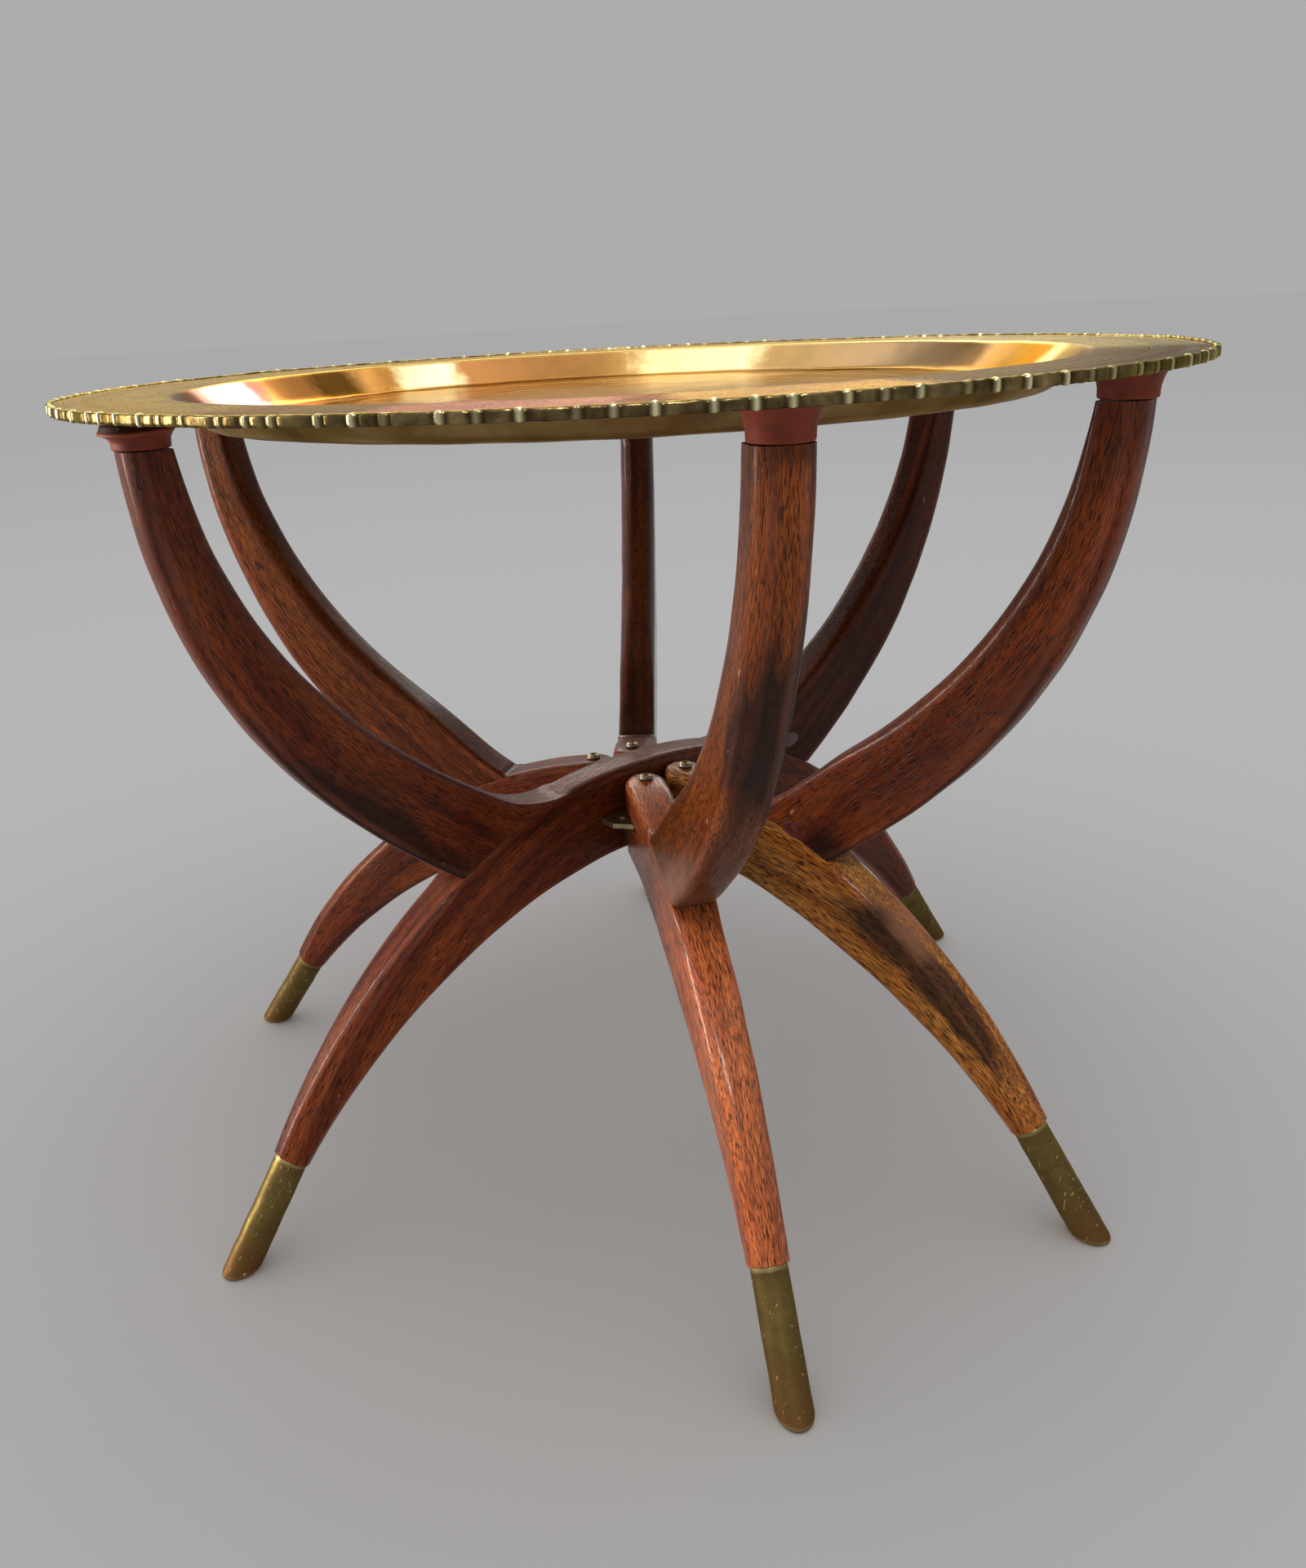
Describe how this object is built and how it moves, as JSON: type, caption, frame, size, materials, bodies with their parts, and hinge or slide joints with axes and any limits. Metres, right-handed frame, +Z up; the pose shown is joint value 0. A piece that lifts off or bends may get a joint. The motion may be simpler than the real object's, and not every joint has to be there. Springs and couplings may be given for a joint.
{
  "type": "folding tray table",
  "caption": "Round brass tray with a sunken floor and a beaded edge, loose on a folding base of curved wooden legs with brass sabots and rubber-capped arms.",
  "frame": {"origin": "on the floor, under the middle of the spine beam and of the tray", "axes": "+Z up, +X along the spine beam towards its right foot; the tray's rim and the feet lie round the Z axis"},
  "size_m": [0.608, 0.6, 0.4593],
  "materials": {
    "mahogany": "reddish-brown mahogany, stained and satin lacquered",
    "plug_wood": "darker end-grain plug, sanded flush",
    "polished_brass": "polished and stamped sheet brass",
    "dull_brass": "tarnished olive-brown brass",
    "red_rubber": "reddish-brown rubber, dull",
    "screw_steel": "worn plated steel"
  },
  "bodies": {
    "base": {"spine_beam": "mahogany", "arm_left": "mahogany", "sabot_left": "dull_brass", "rubber_cap_left": "red_rubber", "arm_plug_left": "plug_wood", "arm_screw_left": "screw_steel", "arm_right": "mahogany", "sabot_right": "dull_brass", "rubber_cap_right": "red_rubber", "arm_plug_right": "plug_wood", "arm_screw_right": "screw_steel", "hinge_bracket_front": "dull_brass", "hinge_bracket_rear": "dull_brass", "bracket_screw_front_left": "screw_steel", "bracket_screw_front_right": "screw_steel", "bracket_screw_rear_left": "screw_steel", "bracket_screw_rear_right": "screw_steel"},
    "swing_leg_front_left": {"leg_front_left": "mahogany", "arm_front_left": "mahogany", "sabot_front_left": "dull_brass", "rubber_cap_front_left": "red_rubber", "arm_plug_front_left": "plug_wood", "arm_screw_front_left": "screw_steel", "pivot_screw_front_left": "screw_steel"},
    "swing_leg_front_right": {"leg_front_right": "mahogany", "arm_front_right": "mahogany", "sabot_front_right": "dull_brass", "rubber_cap_front_right": "red_rubber", "arm_plug_front_right": "plug_wood", "arm_screw_front_right": "screw_steel", "pivot_screw_front_right": "screw_steel"},
    "swing_leg_rear_right": {"leg_rear_right": "mahogany", "arm_rear_right": "mahogany", "sabot_rear_right": "dull_brass", "rubber_cap_rear_right": "red_rubber", "arm_plug_rear_right": "plug_wood", "arm_screw_rear_right": "screw_steel", "pivot_screw_rear_right": "screw_steel"},
    "swing_leg_rear_left": {"leg_rear_left": "mahogany", "arm_rear_left": "mahogany", "sabot_rear_left": "dull_brass", "rubber_cap_rear_left": "red_rubber", "arm_plug_rear_left": "plug_wood", "arm_screw_rear_left": "screw_steel", "pivot_screw_rear_left": "screw_steel"},
    "lift_off_tray": {"tray": "polished_brass"}
  },
  "joints": [
    {"name": "fold_front_left", "type": "hinge", "parent": "base", "child": "swing_leg_front_left", "pos_m": [-0.0155, -0.026, 0.2], "axis": [0, 0, 1], "range_deg": [-61.5, 13.5]},
    {"name": "fold_front_right", "type": "hinge", "parent": "base", "child": "swing_leg_front_right", "pos_m": [0.0155, -0.026, 0.2], "axis": [0, 0, 1], "range_deg": [-2.5, 72.5]},
    {"name": "fold_rear_right", "type": "hinge", "parent": "base", "child": "swing_leg_rear_right", "pos_m": [0.0155, 0.026, 0.2], "axis": [0, 0, 1], "range_deg": [-46, 29]},
    {"name": "fold_rear_left", "type": "hinge", "parent": "base", "child": "swing_leg_rear_left", "pos_m": [-0.0155, 0.026, 0.2], "axis": [0, 0, 1], "range_deg": [-23, 52]},
    {"name": "tray_lift", "type": "slide", "parent": "base", "child": "lift_off_tray", "axis": [0, 0, 1], "range_m": [0, 0.3]}
  ]
}
